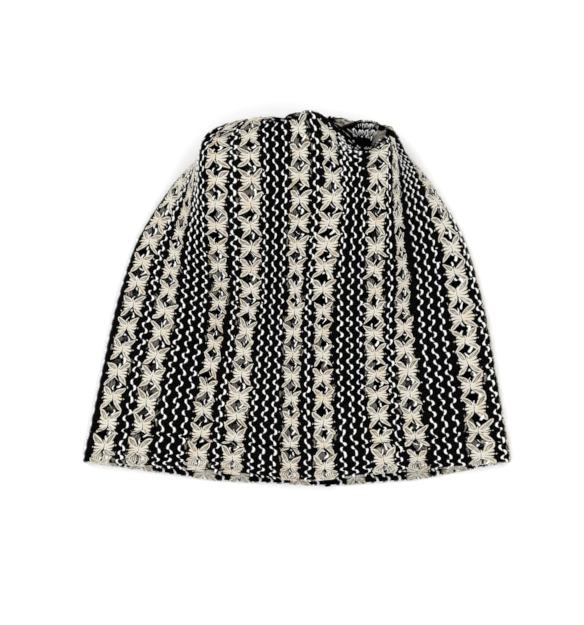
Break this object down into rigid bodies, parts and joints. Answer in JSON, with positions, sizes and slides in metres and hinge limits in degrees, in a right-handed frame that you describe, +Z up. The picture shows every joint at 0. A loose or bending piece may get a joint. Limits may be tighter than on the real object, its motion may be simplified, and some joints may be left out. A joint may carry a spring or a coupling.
{
  "type": "mesh beanie",
  "caption": "Slouchy unlined beanie of striped lace knit with star columns and zigzag bands, a turned-in hem and a gathered crown, lying on its back.",
  "frame": {"origin": "middle of the outline as it lies, on the surface under the hat's back", "axes": "+Z up out of the front layer, +Y towards the crown, -Y out of the mouth, X across the hem"},
  "size_m": [0.2717, 0.2365, 0.0469],
  "materials": {
    "black_ground_knit": "matt black open knit of fine brushed acrylic yarn",
    "cream_star_yarn": "matt cream soft-spun yarn in raised lace stars",
    "white_zigzag_yarn": "matt white yarn in short zigzag stitches"
  },
  "bodies": {
    "root": {"left_side_layer": "black_ground_knit", "left_side_hem_turn_in": "black_ground_knit", "front_layer": "black_ground_knit", "front_hem_turn_in": "black_ground_knit", "right_side_layer": "black_ground_knit", "right_side_hem_turn_in": "black_ground_knit", "back_layer": "black_ground_knit", "back_hem_turn_in": "black_ground_knit", "gathered_crown": "black_ground_knit"}
  },
  "joints": []
}
